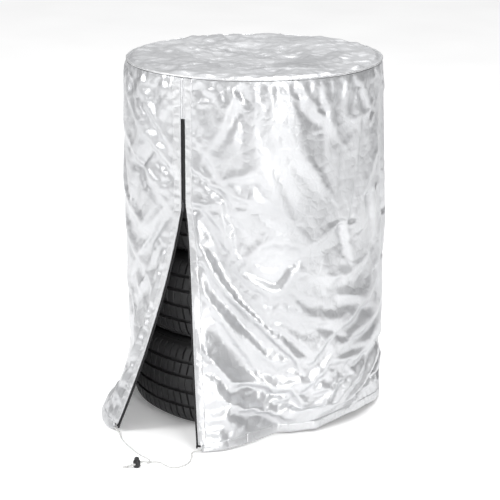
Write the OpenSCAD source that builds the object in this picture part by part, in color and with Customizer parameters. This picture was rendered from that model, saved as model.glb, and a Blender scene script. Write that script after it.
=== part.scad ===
// Silver storage cover over a stack of four tyres.
// The zip runs down the front, -Y. The origin is the centre of the stack on the ground.
// Azimuth 0 is the zip line, and azimuth grows from -Y toward +X.

/* [Tyres] */
// Outer diameter of a tyre
tyre_d = 632; // [626:1:634]
// Height that one tyre takes in the stack
tyre_w = 224; // [220:0.5:226]
// Diameter across the beads, the hole in a tyre
bead_d = 406; // [400:1:410]
// Depth of the grooves round the tread
groove_depth = 8; // [4:0.5:8]
// Width of the grooves round the tread
groove_w = 9; // [6:0.5:11]

/* [Cover] */
// Clearance between the tread and the outside of the wall
cover_gap = 9; // [8.5:0.5:12]
// Thickness of the wall and top panels
wall_t = 2; // [1.6:0.1:2]
// Radius of the piping round the top seam
piping_r = 3; // [2.5:0.1:3.2]
// Height of the hem's lower edge over the ground
hem_z = 3; // [2:0.5:6]
// Height of the drawcord channel in the hem
hem_h = 22; // [20:1:26]

/* [Opening] */
// Height of the slider, where the opening starts
slider_z = 574; // [560:1:590]
// Height of the top end of the zip
zip_top_z = 798; // [780:1:820]
// Azimuth of the left flap's corner at the ground
left_open = 16.6; // [14:0.1:18]
// Azimuth of the right flap's corner at the ground
right_open = 14.4; // [12:0.1:16]
// How far the left flap's corner stands out from the wall
left_flare = 135; // [120:1:140]
// How far the right flap's corner stands out from the wall
right_flare = 142; // [130:1:145]

/* [Drawcord] */
// Diameter of the drawcord
cord_d = 4; // [3.6:0.1:4]
// Radius of the cord lock's barrel
lock_r = 8.8; // [8.6:0.1:9.2]
// Height of the cord lock's barrel
lock_h = 18; // [17:0.5:19]

/* [Hidden] */

tyre_r = tyre_d / 2;
bead_r = bead_d / 2;
tyre_gap = 0.3;                       // between tyres, which lie on each other
half_w = (tyre_w - tyre_gap) / 2;
stack_top = 4 * tyre_w;
cover_r = tyre_r + cover_gap;         // outside of the wall where it hangs straight
panel_z = stack_top + 0.3;            // underside of the top panel
piping_z = panel_z + wall_t / 2;
wall_top = piping_z - piping_r - 0.2;
hem_top = hem_z + hem_h;
wall_z = hem_top + 0.2;               // lower edge of the wall and the flaps
flap_top = slider_z - 18;             // upper end of the flaps
open_zip_top = slider_z - 12;         // upper end of the open zip
closed_zip_z = slider_z + 2;          // lower end of the closed zip
open_coil_z = wall_z - 9;             // lower end of the open coils, over the end stops

// Widths across the zip, from its middle line or from the edge of a flap
coil_from = 0.6;
coil_to = 3.2;
tape_from = 3.4;
tape_to = 14;
open_tape_to = 10;                    // narrower on the flaps, where the tape turns in with the fold
slot_half = 6.2;                      // the wall's edges beside the zip
facing_from = 6.4;
facing_mid = 10.6;                    // a column just past the tape under the facing
facing_to = 26;
facing_insets = [facing_from, facing_mid, facing_to];
mid_share = 0.4;                      // most that those two columns take of a flap's width
to_share = 0.85;
flap_inset = 6.4;                     // from a flap's zip edge to its fabric
hem_inset = 14;                       // from a flap's zip edge to its hem's end

// Slider and its pull, from the wall's outside and from the slider's lower end
slider_h = 18;
plate_half = 5.8;
plate_t = 2;
plate_front = -0.6;
plate_back = 4.6;
web_half = 0.4;
ear_to = 4.4;
ear_t = 1.2;
pin_off = 2.6;
pin_r = 0.9;
pin_up = 11;
pull_w = 6;
pull_t = 1.4;
pull_len = 21;
pull_eye_r = 1.9;

// Radial offsets from the wall's outside
coil_in = -4.4;
coil_out = -1.6;
tape_in = -3.8;
tape_out = -2.3;
facing_in = 0.2;
facing_out = 1.2;
hem_mid = -1;                         // middle of the hem's channel
hem_half = 4.4;
hem_wall = 0.8;

// How the flaps stand out: azimuth spans and curves, all growing toward the ground
left_fold = 43;                       // from the zip to the left flap's fold, at the ground
right_fold = 28;
left_reach = 54;                      // azimuth over which the left flare dies away
right_reach = 31;
fold_start = 0.3;                     // from the zip slot's edge to both folds, at the slider
fold_gap = 0.5;                       // between a flap and the side panel, at the hem
fold_room = 3;                        // more gap halfway up, where the flap turns past the panel

// Cord lock: the cords run straight through it along lock_run
lock_at = [47, -605];
lock_run = [0.254, 0.967];
cord_z = 9;                           // height of the cords in the lock
cord_side = 2.2;                      // half the distance between the two cords
plunger_r = 5.9;
plunger_z = 5.2;
plunger_top = 25;
knot_at = [33, -619, 4.4];
knot_r = 4.4;
loop_r = 4.2;

// Free stretches of the drawcord, from the hem's ends to the lock and the end knot
left_route = [
    [-128, -440, 5], [-112, -453, 3], [-100, -466, 2], [-88, -478, 2], [-76, -487, 2],
    [-64, -496, 2], [-52, -504, 2], [-40, -511, 2], [-28, -519, 2], [-16, -526, 2], [-4, -533, 2],
    [8, -539, 2], [20, -544, 2], [30, -547, 2], [40, -551, 2], [49, -556, 2], [55, -563, 2],
    [55, -571, 2.6], [53, -577, 5], [51, -582, 7.5], [49.2, -588, 9], [44.9, -604.4, 9],
    [42.6, -613, 9], [39, -616.5, 7.5], [36, -618, 5.5]
];
right_route = [
    [119, -450, 5], [113, -457, 3.5], [113, -467, 2.5], [119, -476, 2], [126, -486, 2],
    [131, -498, 2], [137, -511, 2], [140, -525, 2], [140, -540, 2], [136, -554, 2],
    [128, -565, 2], [117, -568, 2], [105, -565, 2], [93, -560, 2], [81, -556, 2], [70, -557, 2],
    [62, -563, 2], [59, -571, 2.6], [57.2, -577, 5], [55.4, -583, 7.5], [53.6, -589, 9],
    [49.1, -605.6, 9], [46.8, -614, 9], [43, -618.5, 7.5], [37, -621, 5.5]
];

// Smooth step from 0 to 1
function ease(t) = t <= 0 ? 0 : t >= 1 ? 1 : t * t * (3 - 2 * t);
// Angle that an arc of the given length takes
function arc(mm, r) = mm / r * 180 / PI;
// Share of the way from the slider down to the ground
function depth(z) = max(0, 1 - z / slider_z);

// Zip edges of the two flaps
function left_edge(z) = -left_open * depth(z);
function right_edge(z) = right_open * pow(depth(z), 0.8);

// Radius of the wall's outside, flared where the flaps stand open
function reach(full, z) = full * (0.35 + 0.65 * depth(z));
function left_out(az, z) =
    left_flare * pow(depth(z), 1.5) * (1 - ease((left_edge(z) - az) / reach(left_reach, z)));
function right_out(az, z) =
    right_flare * pow(depth(z), 1.2) * (1 - ease((az - right_edge(z)) / reach(right_reach, z)));
function wall_r(az, z) =
    let (turn = az > 180 ? az - 360 : az)
    cover_r + (turn < 0 ? left_out(turn, z) : right_out(turn, z));
function at(az, r, z) = [r * sin(az), -r * cos(az), z];
function wall(az, z, offset) = at(az, wall_r(az, z) + offset, z);

// Azimuth at a distance from a flap's zip edge, measured into the flap
function left_edge_r(z) = cover_r + left_flare * pow(depth(z), 1.5);
function right_edge_r(z) = cover_r + right_flare * pow(depth(z), 1.2);
function left_at(z, mm) = left_edge(z) - arc(mm, left_edge_r(z));
function right_at(z, mm) = right_edge(z) + arc(mm, right_edge_r(z));

// Azimuth of each flap's fold, and of the side panel's edge beyond it
slot_az = arc(slot_half, cover_r);
function left_fold_at(z) = -(slot_az + fold_start + left_fold * depth(z));
function right_fold_at(z) = slot_az + fold_start + right_fold * depth(z);
function gap_at(z) = fold_gap + fold_room * 4 * depth(z) * (1 - depth(z));
function side_left(z) = 360 + (z > slider_z + 5 ? -slot_az : left_fold_at(z) - gap_at(z));
function side_right(z) = z > slider_z + 5 ? slot_az : right_fold_at(z) + gap_at(z);

// Distance along the wall from a flap's zip edge to its fold. The flaps narrow toward the slider.
function left_width(z) = (left_edge(z) - left_fold_at(z)) * PI / 180 * left_edge_r(z);
function right_width(z) = (right_fold_at(z) - right_edge(z)) * PI / 180 * right_edge_r(z);
// Distances from the zip edge to a flap's first columns: the facing's, drawn in where the flap is too narrow
function edge_columns(width) = [facing_from,
    min(facing_mid, facing_from + mid_share * (width - facing_from)),
    min(facing_to, facing_from + to_share * (width - facing_from))];

// Triangles of a sheet: an outer and an inner grid of points, and the four edges between them
function grid_faces(rows, cols) =
    let (side = (rows + 1) * (cols + 1))
    let (v = function(s, i, j) s * side + i * (cols + 1) + j)
    let (quads = concat(
        [for (i = [0:rows-1], j = [0:cols-1]) [v(0,i,j), v(0,i+1,j), v(0,i+1,j+1), v(0,i,j+1)]],
        [for (i = [0:rows-1], j = [0:cols-1]) [v(1,i,j), v(1,i,j+1), v(1,i+1,j+1), v(1,i+1,j)]],
        [for (j = [0:cols-1]) [v(0,0,j), v(0,0,j+1), v(1,0,j+1), v(1,0,j)]],
        [for (j = [0:cols-1]) [v(0,rows,j+1), v(0,rows,j), v(1,rows,j), v(1,rows,j+1)]],
        [for (i = [0:rows-1]) [v(0,i+1,0), v(0,i,0), v(1,i,0), v(1,i+1,0)]],
        [for (i = [0:rows-1]) [v(0,i,cols), v(0,i+1,cols), v(1,i+1,cols), v(1,i,cols)]]))
    [for (q = quads, half = [[0, 1, 2], [0, 2, 3]]) [for (k = half) q[k]]];

function steps(low, high, count) = [for (i = [0:count]) low + (high - low) * i / count];

// Sheet of the wall between two radial offsets, with its columns at the azimuths that azimuths(z) lists
module sheet(azimuths, heights, inner, outer) {
    points = [for (offset = [outer, inner], z = heights, az = azimuths(z)) wall(az, z, offset)];
    polyhedron(points, grid_faces(len(heights) - 1, len(azimuths(heights[0])) - 1), convexity = 8);
}

// Sheet between two azimuths, which change with height
module patch(from, to, heights, inner, outer, cols) {
    sheet(function(z) steps(from(z), to(z), cols), heights, inner, outer);
}

// Hollow hem channel between two azimuths
module hem(from, to, cols) {
    outline = function(grow) [
        [hem_mid + hem_half - grow, hem_z + grow], [hem_mid + hem_half - grow, hem_top - grow],
        [hem_mid - hem_half + grow, hem_top - grow], [hem_mid - hem_half + grow, hem_z + grow]];
    points = [for (grow = [0, hem_wall], i = [0:cols], corner = outline(grow))
        wall(from + (to - from) * i / cols, corner[1], corner[0])];
    v = function(s, i, k) s * 4 * (cols + 1) + i * 4 + k % 4;
    quads = concat(
        [for (i = [0:cols-1], k = [0:3]) [v(0,i,k), v(0,i,k+1), v(0,i+1,k+1), v(0,i+1,k)]],
        [for (i = [0:cols-1], k = [0:3]) [v(1,i,k), v(1,i+1,k), v(1,i+1,k+1), v(1,i,k+1)]],
        [for (k = [0:3]) [v(0,0,k+1), v(0,0,k), v(1,0,k), v(1,0,k+1)]],
        [for (k = [0:3]) [v(0,cols,k), v(0,cols,k+1), v(1,cols,k+1), v(1,cols,k)]]);
    polyhedron(points, [for (q = quads, half = [[0, 1, 2], [0, 2, 3]]) [for (k = half) q[k]]],
        convexity = 6);
}

// Round tube swept along points, with its rings square to the route
module tube(route, r, sides) {
    n = len(route) - 1;
    unit = function(a) a / norm(a);
    along = function(i) unit(route[min(i + 1, n)] - route[max(i - 1, 0)]);
    ring = function(i)
        let (t = along(i), a = unit(cross(t, [0, 0, 1])), b = cross(a, t))
        [for (k = [0:sides-1]) route[i] + r * (cos(360 * k / sides) * a + sin(360 * k / sides) * b)];
    points = [for (i = [0:n]) each ring(i)];
    v = function(i, k) i * sides + k % sides;
    faces = concat(
        [for (i = [0:n-1], k = [0:sides-1]) each [
            [v(i,k), v(i+1,k+1), v(i,k+1)], [v(i,k), v(i+1,k), v(i+1,k+1)]]],
        [[for (k = [0:sides-1]) v(0, k)]],
        [[for (k = [0:sides-1]) v(n, sides - 1 - k)]]);
    polyhedron(points, faces, convexity = 8);
}

// Place in a tyre's section, from the middle of its width, mirrored for the lower half
module tyre_ring(number) {
    translate([0, 0, (number - 1) * tyre_w + half_w]) rotate_extrude($fn = 180) children();
}

module tread(number) {
    r = tyre_r;
    outer = [[r-18, -99], [r-8, -92], [r-3, -80], [r-0.8, -50], [r, 0],
        [r-0.8, 50], [r-3, 80], [r-8, 92], [r-18, 99]];
    inner = [[r-27, 90], [r-16, 70], [r-13, 40], [r-13, -40], [r-16, -70], [r-27, -90]];
    color("dimgray") tyre_ring(number) difference() {
        polygon(concat(outer, inner));
        for (z = [-58, -20, 20, 58])
            translate([r - groove_depth, z - groove_w / 2]) square([groove_depth + 1, groove_w]);
    }
}

module sidewall(number, half) {
    r = tyre_r;
    b = bead_r;
    outer = [[r-18, 99], [r-29, half_w-5], [r-39, half_w], [b+49, half_w], [b+33, half_w-5],
        [b+15, 95], [b+4, 86], [b, 78], [b, 68]];
    inner = [[b+5, 66], [b+11, 76], [b+29, 92], [b+49, half_w-13], [r-44, half_w-13], [r-27, 90]];
    color("darkslategray") tyre_ring(number) mirror([0, half > 0 ? 0 : 1, 0])
        polygon(concat(outer, inner));
}

module top_panel() {
    color("silver") translate([0, 0, panel_z]) cylinder(h = wall_t, r = cover_r - 2 * piping_r, $fn = 180);
}

module top_piping() {
    color("gainsboro") translate([0, 0, piping_z]) rotate_extrude($fn = 180)
        translate([cover_r - piping_r, 0]) circle(r = piping_r, $fn = 24);
}

module side_panel() {
    heights = concat(steps(wall_z, slider_z, 9), [slider_z + 10, (slider_z + wall_top) / 2, wall_top]);
    color("silver") patch(function(z) side_right(z), function(z) side_left(z), heights, -wall_t, 0, 60);
}

module front_seam() {
    color("gainsboro") patch(function(z) -slot_az + 0.04, function(z) slot_az - 0.04,
        [zip_top_z + 4, wall_top], -wall_t, 0.6, 2);
}

// Strip beside the closed zip, at a distance either side of its middle line
module closed_strip(side, near, far, low, high, inner, outer) {
    a = side * arc(near, cover_r);
    b = side * arc(far, cover_r);
    patch(function(z) min(a, b), function(z) max(a, b), [low, high], inner, outer, 2);
}

// Strip along a flap's open zip edge, with its columns at distances from that edge, nearest first
module open_strip(side, insets, heights, inner, outer) {
    last = len(insets) - 1;
    sheet(function(z) side < 0 ? [for (i = [0:last]) left_at(z, insets[last - i])]
        : [for (i = insets) right_at(z, i)], heights, inner, outer);
}

module zip_facing(side) {
    color("gainsboro") closed_strip(side, facing_from, facing_to, slider_z + 12, wall_top,
        facing_in, facing_out);
}

module zip_tape(side) {
    color("black") closed_strip(side, tape_from, tape_to, closed_zip_z, zip_top_z, tape_in, tape_out);
}

module zip_coil(side) {
    color("black") closed_strip(side, coil_from, coil_to, closed_zip_z, zip_top_z - 2.2,
        coil_in, coil_out);
}

module zip_top_stop() {
    color("black") translate([-coil_to, -cover_r - coil_out, zip_top_z - 2])
        cube([2 * coil_to, coil_out - coil_in, 3.5]);
}

// Slider: plates in front of and behind the coil, the web between its halves, two ears and the pull's pin
module zip_slider() {
    color("dimgray") translate([0, -cover_r, slider_z]) {
        for (y = [plate_front, plate_back])
            translate([-plate_half, y, 0]) cube([2 * plate_half, plate_t, slider_h]);
        translate([-web_half, plate_front + plate_t - 0.4, 0]) cube([2 * web_half, 4, slider_h]);
        for (x = [-ear_to, ear_to - ear_t])
            translate([x, -pin_off - 1, pin_up - 2]) cube([ear_t, pin_off + 1, 4]);
        translate([-4, -pin_off, pin_up]) rotate([0, 90, 0]) cylinder(h = 8, r = pin_r, $fn = 32);
    }
}

module zip_pull_tab() {
    translate([-pull_w / 2, -cover_r - pin_off, slider_z + pin_up]) color("gray") difference() {
        union() {
            rotate([0, 90, 0]) cylinder(h = pull_w, r = pull_eye_r, $fn = 32);
            translate([0, -pull_t / 2, -pull_len]) cube([pull_w, pull_t, pull_len]);
        }
        translate([-1, 0, 0]) rotate([0, 90, 0]) cylinder(h = pull_w + 2, r = pin_r + 0.08, $fn = 32);
    }
}

// Columns of the flaps: the edge columns, then even steps to the fold
module left_flap() {
    color("silver") sheet(function(z) let (near = edge_columns(left_width(z)))
        concat(steps(left_fold_at(z), left_at(z, near[2]), 8), [left_at(z, near[1]), left_at(z, near[0])]),
        flap_rows, -wall_t, 0);
}

module right_flap() {
    color("silver") sheet(function(z) let (near = edge_columns(right_width(z)))
        concat([right_at(z, near[0]), right_at(z, near[1])],
            steps(right_at(z, near[2]), right_fold_at(z), 8)), flap_rows, -wall_t, 0);
}

module left_flap_facing() {
    color("gainsboro") open_strip(-1, facing_insets, left_facing_rows, facing_in, facing_out);
}

module right_flap_facing() {
    color("gainsboro") open_strip(1, facing_insets, right_facing_rows, facing_in, facing_out);
}

module flap_zip_tape(side) {
    color("black") open_strip(side, [tape_from, open_tape_to], concat([wall_z - 13], flap_rows),
        tape_in, tape_out);
}

module flap_zip_coil(side) {
    color("black") open_strip(side, [coil_from, coil_to], concat([open_coil_z], flap_rows, [open_zip_top]),
        coil_in, coil_out);
}

module end_stop(side) {
    color("black") open_strip(side, [0, coil_to], [open_coil_z - 7, open_coil_z - 0.2],
        coil_in - 0.6, coil_out + 0.6);
}

// Rows of the flaps and of all that is sewn to them. The facings end where a flap is too narrow for them.
flap_rows = steps(wall_z, flap_top, 12);
left_facing_rows = [for (i = [0:10]) flap_rows[i]];
right_facing_rows = [for (i = [0:8]) flap_rows[i]];

// Azimuths at which the hem passes from the flaps to the side panel
hem_left_end = left_at(hem_z, hem_inset);
hem_right_end = right_at(hem_z, hem_inset);
hem_left_fold = left_fold_at(hem_z);
hem_right_fold = right_fold_at(hem_z);

module hem_casing() {
    color("gainsboro") hem(hem_right_fold + fold_gap, 360 + hem_left_fold - fold_gap, 60);
}

module left_flap_hem() {
    color("gainsboro") hem(hem_left_fold, hem_left_end, 6);
}

module right_flap_hem() {
    color("gainsboro") hem(hem_right_end, hem_right_fold, 12);
}

// Drawcord inside the hem, with the same corners as the channel round it
hem_cord_z = hem_z + 3.5;
function hem_cord_route(from, to, cols) =
    [for (i = [0:cols]) wall(from + (to - from) * i / cols, hem_cord_z, hem_mid)];

module hem_cord() {
    color("white") tube(hem_cord_route(hem_right_fold + fold_gap, 360 + hem_left_fold - fold_gap, 60),
        cord_d / 2, 8);
}

module left_flap_hem_cord() {
    color("white") tube(hem_cord_route(hem_left_fold, hem_left_end, 6), cord_d / 2, 8);
}

module right_flap_hem_cord() {
    color("white") tube(hem_cord_route(hem_right_end, hem_right_fold, 12), cord_d / 2, 8);
}

module drawcord_left() {
    start = wall(hem_left_end + 0.1, hem_cord_z, hem_mid);
    color("white") tube(concat([start], left_route), cord_d / 2, 8);
}

module drawcord_right() {
    start = wall(hem_right_end - 0.1, hem_cord_z, hem_mid);
    color("white") tube(concat([start], right_route), cord_d / 2, 8);
}

module end_knot() {
    color("white") translate(knot_at) {
        sphere(r = knot_r, $fn = 32);
        translate([-6.5, -4.5, cord_d / 2 - knot_at[2]]) rotate_extrude($fn = 48)
            translate([loop_r, 0]) circle(r = cord_d / 2, $fn = 16);
    }
}

// Turned and placed so that the cords run through along X
module in_lock() {
    translate([lock_at[0], lock_at[1], 0]) rotate([0, 0, atan2(lock_run[1], lock_run[0])]) children();
}

module cord_slot(low, high) {
    wide = 2 * cord_side + cord_d + 0.8;
    translate([-lock_r - 1, -wide / 2, low]) cube([2 * lock_r + 2, wide, high - low]);
}

module cord_lock_barrel() {
    profile = [[0, 0], [lock_r - 2, 0], [lock_r, 3], [lock_r, lock_h - 4], [lock_r - 1.6, lock_h],
        [0, lock_h]];
    color("black") in_lock() difference() {
        rotate_extrude($fn = 64) polygon(profile);
        translate([0, 0, 1.5]) cylinder(h = lock_h, r = plunger_r + 0.2, $fn = 64);
        cord_slot(cord_z - cord_d / 2 - 0.5, cord_z + cord_d / 2 + 0.5);
    }
}

module cord_lock_plunger() {
    profile = [[0, plunger_z], [plunger_r, plunger_z], [plunger_r, plunger_top - 2],
        [plunger_r - 2, plunger_top], [0, plunger_top]];
    color("dimgray") in_lock() difference() {
        rotate_extrude($fn = 64) polygon(profile);
        cord_slot(cord_z - cord_d / 2 - 0.4, cord_z + cord_d / 2 + 3.2);
    }
}

module cord_lock_spring() {
    turns = 2.5;
    wire_r = 0.4;
    low = 1.5 + wire_r + 0.05;
    high = plunger_z - wire_r - 0.05;
    route = [for (i = [0:turns * 16]) at(i * 22.5, 4.2, low + (high - low) * i / (turns * 16))];
    color("gray") in_lock() tube(route, wire_r, 6);
}

tread(1);  // tyre_1_tread
sidewall(1, -1);  // tyre_1_lower_sidewall
sidewall(1, 1);  // tyre_1_upper_sidewall
tread(2);  // tyre_2_tread
sidewall(2, -1);  // tyre_2_lower_sidewall
sidewall(2, 1);  // tyre_2_upper_sidewall
tread(3);  // tyre_3_tread
sidewall(3, -1);  // tyre_3_lower_sidewall
sidewall(3, 1);  // tyre_3_upper_sidewall
tread(4);  // tyre_4_tread
sidewall(4, -1);  // tyre_4_lower_sidewall
sidewall(4, 1);  // tyre_4_upper_sidewall
top_panel();
top_piping();
side_panel();
front_seam();
zip_facing(-1);  // zip_facing_left
zip_facing(1);  // zip_facing_right
zip_tape(-1);  // zip_tape_left
zip_tape(1);  // zip_tape_right
zip_coil(-1);  // zip_coil_left
zip_coil(1);  // zip_coil_right
zip_top_stop();
zip_slider();
zip_pull_tab();
left_flap();
left_flap_facing();
flap_zip_tape(-1);  // left_flap_zip_tape
flap_zip_coil(-1);  // left_flap_zip_coil
end_stop(-1);  // left_end_stop
right_flap();
right_flap_facing();
flap_zip_tape(1);  // right_flap_zip_tape
flap_zip_coil(1);  // right_flap_zip_coil
end_stop(1);  // right_end_stop
hem_casing();
left_flap_hem();
right_flap_hem();
hem_cord();
left_flap_hem_cord();
right_flap_hem_cord();
drawcord_left();
drawcord_right();
end_knot();
cord_lock_barrel();
cord_lock_plunger();
cord_lock_spring();
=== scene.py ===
"""Silver storage cover over four stacked tyres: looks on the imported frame, in metres."""

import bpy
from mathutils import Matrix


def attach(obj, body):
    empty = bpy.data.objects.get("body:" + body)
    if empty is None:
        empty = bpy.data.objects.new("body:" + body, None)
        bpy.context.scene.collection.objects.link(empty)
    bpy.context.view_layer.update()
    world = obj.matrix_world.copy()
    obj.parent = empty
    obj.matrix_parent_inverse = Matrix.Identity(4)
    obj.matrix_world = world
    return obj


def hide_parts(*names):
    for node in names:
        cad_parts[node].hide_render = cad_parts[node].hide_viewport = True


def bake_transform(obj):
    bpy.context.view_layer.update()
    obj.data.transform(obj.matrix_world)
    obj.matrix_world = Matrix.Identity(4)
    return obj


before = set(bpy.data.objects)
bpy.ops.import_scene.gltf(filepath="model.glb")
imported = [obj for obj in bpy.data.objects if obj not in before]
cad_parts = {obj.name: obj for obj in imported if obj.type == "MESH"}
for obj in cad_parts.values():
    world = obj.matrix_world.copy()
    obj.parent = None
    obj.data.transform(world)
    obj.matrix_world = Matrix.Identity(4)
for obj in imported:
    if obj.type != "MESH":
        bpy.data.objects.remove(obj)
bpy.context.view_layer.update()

import math
import bpy
import numpy as np
from mathutils import Vector, noise

noise.seed_set(11)                    # noise_vector follows the clock unless it is seeded

# ------------------------------------------------------------------ sizes, the same as in part.scad
TYRE_PITCH, TYRE_HALF = 0.224, 0.11185
COVER_R, SLIDER_Z, ZIP_TOP = 0.325, 0.574, 0.798
WALL_TOP = 0.8941
PANEL_Z, PIPING_Z, PIPING_R = 0.8963, 0.8973, 0.003
LEFT_OPEN, RIGHT_OPEN, LEFT_FLARE, RIGHT_FLARE = 16.6, 14.4, 0.135, 0.142
LEFT_REACH, RIGHT_REACH = 54, 31
HEM_Z, HEM_MID = 0.003, -0.001
FLAP_INSET, HEM_INSET = 0.0064, 0.014
CORD_D, CORD_RISE = 0.004, 0.0035
KNOT_AT = (0.033, -0.619, 0.0044)
# Where the flaps' hems part from the rest of the hem, within a degree of part.scad's folds
LEFT_HEM_FOLD, RIGHT_HEM_FOLD = -44.8, 29.3


# ------------------------------------------------------------------ camera
def add_camera():
    data = bpy.data.cameras.new("camera")
    data.lens, data.sensor_width = 144, 36
    cam = bpy.data.objects.new("camera", data)
    cam.location = (2.6506, -4.2419, 1.8017)
    cam.rotation_euler = (math.pi / 2 - 0.2755, 0, math.radians(32.126))
    bpy.context.scene.collection.objects.link(cam)
    bpy.context.scene.camera = cam


add_camera()


# ------------------------------------------------------------------ the wall's shape
def ease(t):
    t = np.clip(t, 0, 1)
    return t * t * (3 - 2 * t)


def depth(z):
    return np.maximum(0, 1 - np.asarray(z, float) / SLIDER_Z)


def left_edge(z):
    return -LEFT_OPEN * depth(z)


def right_edge(z):
    return RIGHT_OPEN * depth(z) ** 0.8


def wall_r(az, z):
    d = depth(z)
    reach = 0.35 + 0.65 * d
    left = LEFT_FLARE * d**1.5 * (1 - ease((left_edge(z) - az) / (LEFT_REACH * reach)))
    right = RIGHT_FLARE * d**1.2 * (1 - ease((az - right_edge(z)) / (RIGHT_REACH * reach)))
    return COVER_R + np.where(np.asarray(az) < 0, left, right)


def at(az, r, z):
    a = np.radians(az)
    return np.stack(np.broadcast_arrays(r * np.sin(a), -r * np.cos(a), z), -1)


def wall(az, z, offset=0.0):
    return at(az, wall_r(az, z) + offset, z)


def edge_at(side, z, inset):
    """Azimuth at a distance into the fabric from the zip's edge: side is -1 for left, 1 for right."""
    d = depth(z)
    if side < 0:
        return left_edge(z) - np.degrees(inset / (COVER_R + LEFT_FLARE * d**1.5))
    return right_edge(z) + np.degrees(inset / (COVER_R + RIGHT_FLARE * d**1.2))


# ------------------------------------------------------------------ mesh helpers
def add_object(name, data, material, smooth=True):
    obj = bpy.data.objects.new(name, data)
    bpy.context.scene.collection.objects.link(obj)
    if material:
        data.materials.append(material)
    if smooth and isinstance(data, bpy.types.Mesh):
        data.shade_smooth()
    return obj


def mesh_object(name, points, faces, material, smooth=True):
    data = bpy.data.meshes.new(name)
    data.from_pydata(np.asarray(points, float).reshape(-1, 3).tolist(), [], faces)
    data.update()
    return add_object(name, data, material, smooth)


def grid_quads(rows, cols, wrap_rows=False, wrap_cols=False):
    quads = []
    for i in range(rows if wrap_rows else rows - 1):
        for j in range(cols if wrap_cols else cols - 1):
            a, b = i * cols, (i + 1) % rows * cols
            k = (j + 1) % cols
            quads.append((a + j, a + k, b + k, b + j))
    return quads


def grid_object(name, points, material, wrap_rows=False, wrap_cols=False):
    rows, cols = points.shape[:2]
    return mesh_object(name, points, grid_quads(rows, cols, wrap_rows, wrap_cols), material)


def smooth_route(points, per_span=6):
    """Catmull-Rom curve through the route's points."""
    p = np.array([points[0]] + list(points) + [points[-1]], float)
    out = []
    for i in range(1, len(p) - 2):
        for t in np.arange(per_span) / per_span:
            out.append(0.5 * (2 * p[i] + (p[i + 1] - p[i - 1]) * t
                              + (2 * p[i - 1] - 5 * p[i] + 4 * p[i + 1] - p[i + 2]) * t**2
                              + (3 * p[i] - p[i - 1] - 3 * p[i + 1] + p[i + 2]) * t**3))
    out.append(p[-2])
    return np.array(out)


def frames_along(route, up=(0, 0, 1)):
    tangent = np.gradient(route, axis=0)
    tangent /= np.linalg.norm(tangent, axis=1)[:, None]
    side = np.cross(tangent, up)
    side /= np.linalg.norm(side, axis=1)[:, None]
    return tangent, side, np.cross(side, tangent)


def tube_points(route, radius, sides=12):
    _, a, b = frames_along(route)
    turn = np.arange(sides) / sides * 2 * math.pi
    ring = np.cos(turn)[None, :, None] * a[:, None] + np.sin(turn)[None, :, None] * b[:, None]
    return route[:, None] + np.asarray(radius).reshape(-1, 1, 1) * ring


def tube_object(name, route, radius, material, sides=12, closed=False):
    points = tube_points(route, radius, sides)
    rows = len(points)
    quads = grid_quads(rows, sides, wrap_rows=closed, wrap_cols=True)
    if not closed:
        quads += [tuple(reversed(range(sides))), tuple((rows - 1) * sides + k for k in range(sides))]
    return mesh_object(name, points, quads, material)


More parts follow.
